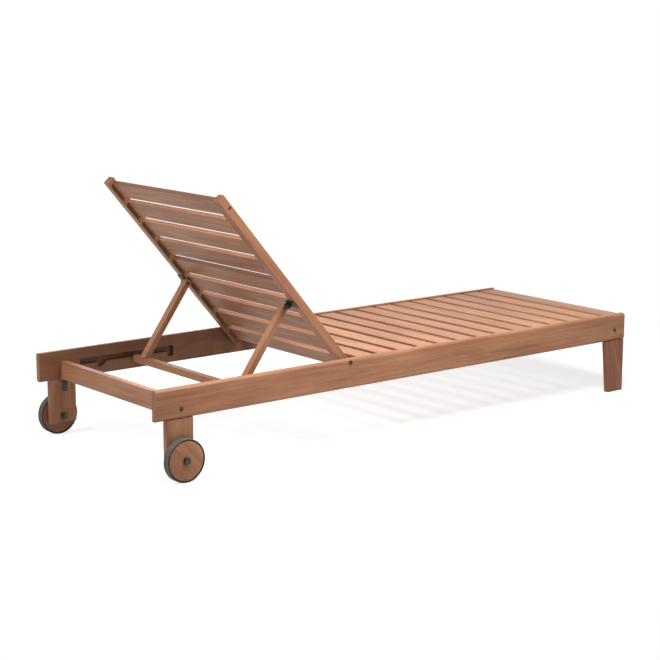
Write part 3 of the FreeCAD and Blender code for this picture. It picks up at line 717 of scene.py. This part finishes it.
@dataclass
class Backrest:
    """Stiles and slats of the back."""

    shop: WoodShop
    stile_inside: float = 0.289

    def stiles(self) -> None:
        """Dress the stiles, with painted shade on their inner faces."""
        # Painted shade on the stiles' inner faces.
        inner = PaintedShade(0.27, self.stile_inside + 0.0010, 0.62, soft=0.0014)
        for side in Side:
            self.shop.board(side.node("back_stile"), Grade.DEEP, (inner,), ends=0.60)

    def slats(self) -> None:
        """Dress the slats between the stiles."""
        for node in nodes_named("back_slat"):
            # Painted shade on the slats' long edges, for the shade in the gaps between them.
            self.shop.board(node, Grade.EVEN, edges=0.84)

    def build(self) -> None:
        """Dress the whole back."""
        self.stiles()
        self.slats()


@dataclass
class Prop:
    """Struts and the bar across their feet."""

    shop: WoodShop

    def build(self) -> None:
        """Dress the struts and the bar."""
        for side in Side:
            self.shop.board(side.node("strut"), Grade.PALE)
        self.shop.board("support_bar", Grade.EVEN)


@dataclass
class Wheel:
    """One wheel: a ribbed tyre round a disc of glued staves, on a nylon bush."""

    side: Side
    seed: int
    axle_x: float = -0.916
    axle_z: float = 0.066
    middle_y: float = 0.3655
    radius: float = 0.066
    width: float = 0.025
    tyre: float = 0.005
    corner: float = 0.0020
    ribs: int = 7
    rib_depth: float = 0.0005
    rib_gap: float = 0.0009
    steps: int = 144
    stave_lean: float = -47.5

    def profile(self) -> list[tuple[float, float]]:
        """Outline of the tyre.

        Returns:
            Radius and place across the wheel of each point, once round the section.
        """
        half, inside = self.width / 2, self.radius - self.tyre
        points = [(inside, -half), (self.radius - self.corner, -half)]
        for turn in (22.5, 45.0, 67.5):
            angle = math.radians(turn)
            points.append((self.radius - self.corner * (1 - math.sin(angle)),
                           -half + self.corner * (1 - math.cos(angle))))
        start = -half + self.corner
        pitch = -2 * start / self.ribs
        for rib in range(self.ribs):
            low, high = start + rib * pitch, start + (rib + 1) * pitch
            points.append((self.radius, low if rib == 0 else low + self.rib_gap / 2))
            points.append((self.radius, high if rib == self.ribs - 1 else high - self.rib_gap / 2))
            if rib < self.ribs - 1:
                points.append((self.radius - self.rib_depth, high - self.rib_gap / 5))
                points.append((self.radius - self.rib_depth, high + self.rib_gap / 5))
        for turn in (67.5, 45.0, 22.5):
            angle = math.radians(turn)
            points.append((self.radius - self.corner * (1 - math.sin(angle)),
                           half - self.corner * (1 - math.cos(angle))))
        return points + [(self.radius - self.corner, half), (inside, half)]

    def build_tyre(self) -> None:
        """Turn the tyre's outline round the axle, and set it in place of the plain one."""
        outline = self.profile()
        middle = self.side.value * self.middle_y
        verts, faces, tread = [], [], []
        for step in range(self.steps):
            angle = math.tau * step / self.steps
            for reach, across in outline:
                verts.append((self.axle_x + reach * math.cos(angle), middle + across,
                              self.axle_z + reach * math.sin(angle)))
        count = len(outline)
        for step in range(self.steps):
            here, there = step * count, (step + 1) % self.steps * count
            for index in range(count):
                after = (index + 1) % count
                faces.append((here + index, there + index, there + after, here + after))
                both = (outline[index][0], outline[after][0])
                tread.append(int(min(both) > self.radius - self.corner * 0.7))
        mesh = bpy.data.meshes.new("ribbed_tyre_" + self.side.word)
        mesh.from_pydata(verts, [], faces)
        # The tread's grey is part dusting, part painted sheen; the walls have none.
        mesh.materials.append(Rubber().material("rubber_wall_" + self.side.word, 0.0))
        mesh.materials.append(Rubber().material("rubber_tread_" + self.side.word, 0.9))
        mesh.polygons.foreach_set("material_index", tread)
        smooth(mesh, 30.0)
        piece = new_piece("ribbed_tyre_" + self.side.word, mesh)
        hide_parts(self.side.node("tyre"))
        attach(piece, self.side.node("wheel"))
        log.info("built %s", piece.name)

    def dress_disc(self) -> None:
        """Dress the disc as staves that lean across the wheel."""
        lean = math.radians(self.stave_lean)
        along = Vector((math.cos(lean), 0.0, math.sin(lean)))
        across = Vector((-math.sin(lean), 0.0, math.cos(lean)))
        centre = Vector((self.axle_x, self.side.value * self.middle_y, self.axle_z))
        axes = BoardAxes(centre, Matrix((along, across, along.cross(across))))
        finish = GluedHardwood()
        dress(self.side.node("wheel_disc"), finish.disc("wood_wheel_disc_" + self.side.word, axes, self.seed))

    def build(self) -> None:
        """Build and dress the whole wheel."""
        self.build_tyre()
        self.dress_disc()
        dress(self.side.node("wheel_bush"), Nylon().material("nylon_" + self.side.word))


@dataclass
class ScrewSet:
    """Pan head screws with a cross recess, one in place of each plain screw of a node."""

    node: str
    body: str
    head: float
    height: float
    shank: float
    steps: int = 28

    def solids(self) -> list[np.ndarray]:
        """Corner points of each plain screw of the node."""
        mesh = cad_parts[self.node].data
        keys = [tuple(round(c * 1e6) for c in v.co) for v in mesh.vertices]
        parent = {key: key for key in keys}

        def root(key: tuple) -> tuple:
            """Point that stands for the group of a point."""
            while parent[key] != key:
                parent[key] = parent[parent[key]]
                key = parent[key]
            return key

        for polygon in mesh.polygons:
            first = root(keys[polygon.vertices[0]])
            for index in polygon.vertices[1:]:
                parent[root(keys[index])] = first
        groups: dict[tuple, list[tuple]] = {}
        for key in set(keys):
            groups.setdefault(root(key), []).append(key)
        return [np.array(sorted(groups[key])) * 1e-6 for key in sorted(groups)]

    def place(self, points: np.ndarray) -> tuple[Matrix, float]:
        """Find where one plain screw sits.

        Args:
            points: Its corner points.

        Returns:
            Matrix from a screw along Z with the top of its head at the origin, and the screw's length.
        """
        middle = points.mean(axis=0)
        _, _, axes = np.linalg.svd(points - middle, full_matrices=False)
        axis = axes[0]
        along = (points - middle) @ axis
        off = np.linalg.norm(points - middle - np.outer(along, axis), axis=1)
        if off[along > along.max() - 1e-4].max() < off[along < along.min() + 1e-4].max():
            axis, along = -axis, -along
        rim = points[along > along.max() - 1e-4].mean(axis=0)
        turn = Vector(axis).to_track_quat("Z", "Y").to_matrix().to_4x4()
        return Matrix.Translation(Vector(rim)) @ turn, float(along.max() - along.min())

    def lathe(self, length: float) -> bpy.types.Mesh:
        """Turn one screw: a domed head, a plain neck and a pointed, threaded shank.

        Args:
            length: Length of the screw with its head.

        Returns:
            The mesh, along Z with the top of its head at the origin.
        """
        half, neck = self.head / 2, self.shank / 2
        outline = [(0.0, 0.0), (half * 0.55, 0.0), (half * 0.80, -self.height * 0.12),
                   (half * 0.95, -self.height * 0.40), (half, -self.height * 0.75), (half, -self.height),
                   (neck, -self.height)]
        thread = -self.height - (length - self.height) * 0.25
        outline.append((neck, thread))
        turns = 7
        pitch = (length + thread - neck) / turns
        for turn in range(turns):
            outline.append((neck * 0.74, thread - (turn + 0.35) * pitch))
            outline.append((neck, thread - (turn + 1.0) * pitch))
        outline.append((0.0, -length))
        verts, faces = [], []
        rings = []
        for reach, height in outline:
            if reach == 0.0:
                rings.append([len(verts)] * self.steps)
                verts.append((0.0, 0.0, height))
                continue
            rings.append(list(range(len(verts), len(verts) + self.steps)))
            for step in range(self.steps):
                angle = math.tau * step / self.steps
                verts.append((reach * math.cos(angle), reach * math.sin(angle), height))
        for above, below in zip(rings, rings[1:]):
            for step in range(self.steps):
                after = (step + 1) % self.steps
                corners = [above[step], above[after], below[after], below[step]]
                faces.append(tuple(reversed(list(dict.fromkeys(corners)))))
        mesh = bpy.data.meshes.new("screw_blank")
        mesh.from_pydata(verts, [], faces)
        return mesh

    def cross(self) -> bpy.types.Mesh:
        """Cutter of the cross recess, wider at its mouth."""
        arm, web, deep = self.head * 0.30, self.head * 0.065, self.height * 0.70
        corners = [(web, web), (web, arm), (-web, arm), (-web, web), (-arm, web), (-arm, -web),
                   (-web, -web), (-web, -arm), (web, -arm), (web, -web), (arm, -web), (arm, web)]
        verts = [(x, y, deep) for x, y in corners] + [(x * 0.75, y * 0.75, -deep) for x, y in corners]
        count = len(corners)
        faces = [tuple(range(count)), tuple(reversed(range(count, 2 * count)))]
        for index in range(count):
            after = (index + 1) % count
            faces.append((index, index + count, after + count, after))
        mesh = bpy.data.meshes.new("screw_cutter")
        mesh.from_pydata(verts, [], faces)
        return mesh

    def screw(self, length: float) -> bpy.types.Mesh:
        """Make one screw with its recess cut.

        Args:
            length: Length of the screw with its head.

        Returns:
            Its mesh, along Z with the top of its head at the origin.
        """
        blank = new_piece("screw_blank", self.lathe(length))
        cutter = new_piece("screw_cutter", self.cross())
        cut = blank.modifiers.new("recess", "BOOLEAN")
        cut.operation = "DIFFERENCE"
        cut.solver = "EXACT"
        cut.object = cutter
        graph = bpy.context.evaluated_depsgraph_get()
        mesh = bpy.data.meshes.new_from_object(blank.evaluated_get(graph))
        for piece in (blank, cutter):
            bpy.data.objects.remove(piece)
        return mesh

    def build(self, material: bpy.types.Material) -> None:
        """Build all the screws as one piece, in place of the node.

        Args:
            material: Finish of the screws.
        """
        verts: list[Vector] = []
        faces: list[tuple[int, ...]] = []
        pattern = None
        for number, points in enumerate(self.solids()):
            matrix, length = self.place(points)
            if pattern is None:
                pattern = self.screw(length)
            spin = Matrix.Rotation(math.radians(37.0 * number + 12.0), 4, "Z")
            start = len(verts)
            verts += [matrix @ spin @ v.co for v in pattern.vertices]
            faces += [tuple(start + i for i in p.vertices) for p in pattern.polygons]
        mesh = bpy.data.meshes.new("cross_" + self.node)
        mesh.from_pydata(verts, [], faces)
        mesh.materials.append(material)
        smooth(mesh)
        piece = new_piece("cross_" + self.node, mesh)
        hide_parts(self.node)
        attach(piece, self.body)
        log.info("built %s", piece.name)


@dataclass
class Ironwork:
    """Bolts, nuts, washers, brackets, rivets and screws."""

    black: BlackSteel = field(default_factory=BlackSteel)
    plated: PlatedSteel = field(default_factory=PlatedSteel)

    def screws(self) -> list[ScrewSet]:
        """The sets of pan head screws."""
        return [ScrewSet("leg_bracket_screws", "frame", 0.0075, 0.0018, 0.0040),
                ScrewSet("strut_bracket_screws", "back", 0.0070, 0.0016, 0.0035),
                ScrewSet("top_slat_screws", "back", 0.0090, 0.0018, 0.0040)]

    def build(self) -> None:
        """Build the screws and dress the rest."""
        black = self.black.material("blackened_fittings")
        plated = self.plated.material("zinc_fittings")
        for node in ("leg_brackets", "strut_brackets", "axle_bolts", "axle_nuts", "axle_washers", "frame_bolts",
                     "pivot_bolts", "strut_rivets"):
            dress(node, black)
        for node in ("barrel_nuts", "pivot_nuts", "pivot_spacers", "strut_foot_screws"):
            dress(node, plated)
        for screws in self.screws():
            screws.build(black)


@dataclass
class Studio:
    """Plain pale floor, soft light and the photograph's camera."""

    lens: float = 95.99
    sensor: float = 36.0
    camera_place: tuple[float, float, float] = (-3.7047, -4.5173, 1.442)
    azimuth: float = -38.77
    elevation: float = 11.187
    roll: float = 0.152
    floor_size: float = 30.0
    fill_strength: float = 0.11
    floor_tone: float = 0.55
    floor_glow: float = 0.72
    lit_reach: float = 1.1
    white_reach: float = 2.4

    def camera(self) -> None:
        """Set the camera where the photograph was taken from."""
        turn, rise = math.radians(self.azimuth), math.radians(self.elevation)
        back = Vector((math.sin(turn) * math.cos(rise), -math.cos(turn) * math.cos(rise), math.sin(rise)))
        right = Vector((math.cos(turn), math.sin(turn), 0.0))
        up = back.cross(right)
        lean = math.radians(self.roll)
        right, up = right * math.cos(lean) + up * math.sin(lean), up * math.cos(lean) - right * math.sin(lean)
        data = bpy.data.cameras.new("camera")
        data.lens = self.lens
        data.sensor_width = self.sensor
        data.sensor_fit = "HORIZONTAL"
        data.clip_end = 100.0
        camera = bpy.data.objects.new("camera", data)
        camera.matrix_world = Matrix.Translation(self.camera_place) @ Matrix((right, up, back)).transposed().to_4x4()
        bpy.context.scene.collection.objects.link(camera)
        bpy.context.scene.camera = camera

    def world(self) -> None:
        """Light the scene evenly and show white behind it."""
        world = bpy.data.worlds.new("studio")
        world.use_nodes = True
        tree = world.node_tree
        background = tree.nodes["Background"]
        background.inputs["Color"].default_value = (1.0, 1.0, 1.0, 1.0)
        path = tree.nodes.new("ShaderNodeLightPath")
        seen = tree.nodes.new("ShaderNodeMath")
        seen.operation = "MAXIMUM"
        tree.links.new(path.outputs["Is Camera Ray"], seen.inputs[0])
        tree.links.new(path.outputs["Is Glossy Ray"], seen.inputs[1])
        through = tree.nodes.new("ShaderNodeMath")
        through.operation = "MAXIMUM"
        tree.links.new(seen.outputs[0], through.inputs[0])
        tree.links.new(path.outputs["Is Transmission Ray"], through.inputs[1])
        strength = tree.nodes.new("ShaderNodeMapRange")
        strength.inputs["To Min"].default_value = self.fill_strength
        strength.inputs["To Max"].default_value = 1.0
        tree.links.new(through.outputs[0], strength.inputs["Value"])
        tree.links.new(strength.outputs[0], background.inputs["Strength"])
        bpy.context.scene.world = world

    def floor(self) -> None:
        """Lay the floor, white to the camera apart from the lounger's shadow."""
        half = self.floor_size / 2
        mesh = bpy.data.meshes.new("floor")
        mesh.from_pydata([(-half, -half, 0), (half, -half, 0), (half, half, 0), (-half, half, 0)], [],
                         [(0, 1, 2, 3)])
        sheet = NodeSheet("pale_floor")
        tone = self.floor_tone
        sheet.set(Base_Color=(tone, tone, tone), Roughness=0.9, Specular_IOR_Level=0.1)
        glow = sheet.tree.nodes.new("ShaderNodeEmission")
        glow.inputs["Strength"].default_value = self.floor_glow
        white = sheet.tree.nodes.new("ShaderNodeEmission")
        both = sheet.tree.nodes.new("ShaderNodeAddShader")
        sheet.link(sheet.shader.outputs[0], both.inputs[0])
        sheet.link(glow.outputs[0], both.inputs[1])
        reach = sheet.tree.nodes.new("ShaderNodeVectorMath")
        reach.operation = "LENGTH"
        sheet.link(sheet.position(), reach.inputs[0])
        away = self.blend(sheet, sheet.span(reach.outputs["Value"], self.lit_reach, self.white_reach),
                          both.outputs[0], white.outputs[0])
        path = sheet.tree.nodes.new("ShaderNodeLightPath")
        seen = sheet.math("MAXIMUM", path.outputs["Is Camera Ray"], path.outputs["Is Glossy Ray"])
        seen = sheet.math("MAXIMUM", seen, path.outputs["Is Transmission Ray"])
        sheet.link(self.blend(sheet, seen, sheet.shader.outputs[0], away), sheet.output.inputs["Surface"])
        mesh.materials.append(sheet.material)
        new_piece("floor", mesh)

    def blend(self, sheet: NodeSheet, factor: object, first: object, second: object) -> object:
        """Blend two shaders.

        Args:
            sheet: Material that gets the node.
            factor: Share of the second shader.
            first: Output socket of the first shader.
            second: Output socket of the second shader.

        Returns:
            Output socket with the shader.
        """
        node = sheet.tree.nodes.new("ShaderNodeMixShader")
        for socket, source in zip(node.inputs, (factor, first, second)):
            sheet.link(source, socket)
        return node.outputs[0]

    def lamp(self, name: str, place: tuple, aim: tuple, size: float, power: float) -> None:
        """Hang one soft square lamp.

        Args:
            name: Name of the lamp.
            place: Where it hangs.
            aim: Point that it faces.
            size: Length of its side.
            power: Power in watts.
        """
        data = bpy.data.lights.new(name, "AREA")
        data.shape = "SQUARE"
        data.size = size
        data.energy = power
        lamp = bpy.data.objects.new(name, data)
        lamp.location = place
        lamp.rotation_euler = (Vector(place) - Vector(aim)).to_track_quat("Z", "Y").to_euler()
        bpy.context.scene.collection.objects.link(lamp)

    def build(self) -> None:
        """Set up the whole studio."""
        self.camera()
        self.world()
        self.floor()
        self.lamp("key", (-0.1, -0.95, 1.95), (-0.05, -0.1, 0.25), 1.0, 52.0)
        self.lamp("head", (-2.4, 0.2, 1.9), (-0.6, 0.0, 0.3), 1.3, 30.0)
        self.lamp("far", (0.9, 3.0, 1.5), (0.1, 0.0, 0.3), 1.6, 16.0)
        scene = bpy.context.scene
        scene.view_settings.view_transform = "Standard"
        log.info("studio is lit")


def main() -> None:
    """Build and dress the lounger piece by piece, and set up the studio."""
    logging.basicConfig(level=logging.INFO, format="%(name)s: %(message)s")
    shop = WoodShop()
    BedFrame(shop).build()
    Backrest(shop).build()
    Prop(shop).build()
    for seed, side in enumerate(Side, 301):
        Wheel(side, seed).build()
    Ironwork().build()
    Studio().build()


if __name__ == "__main__":
    main()
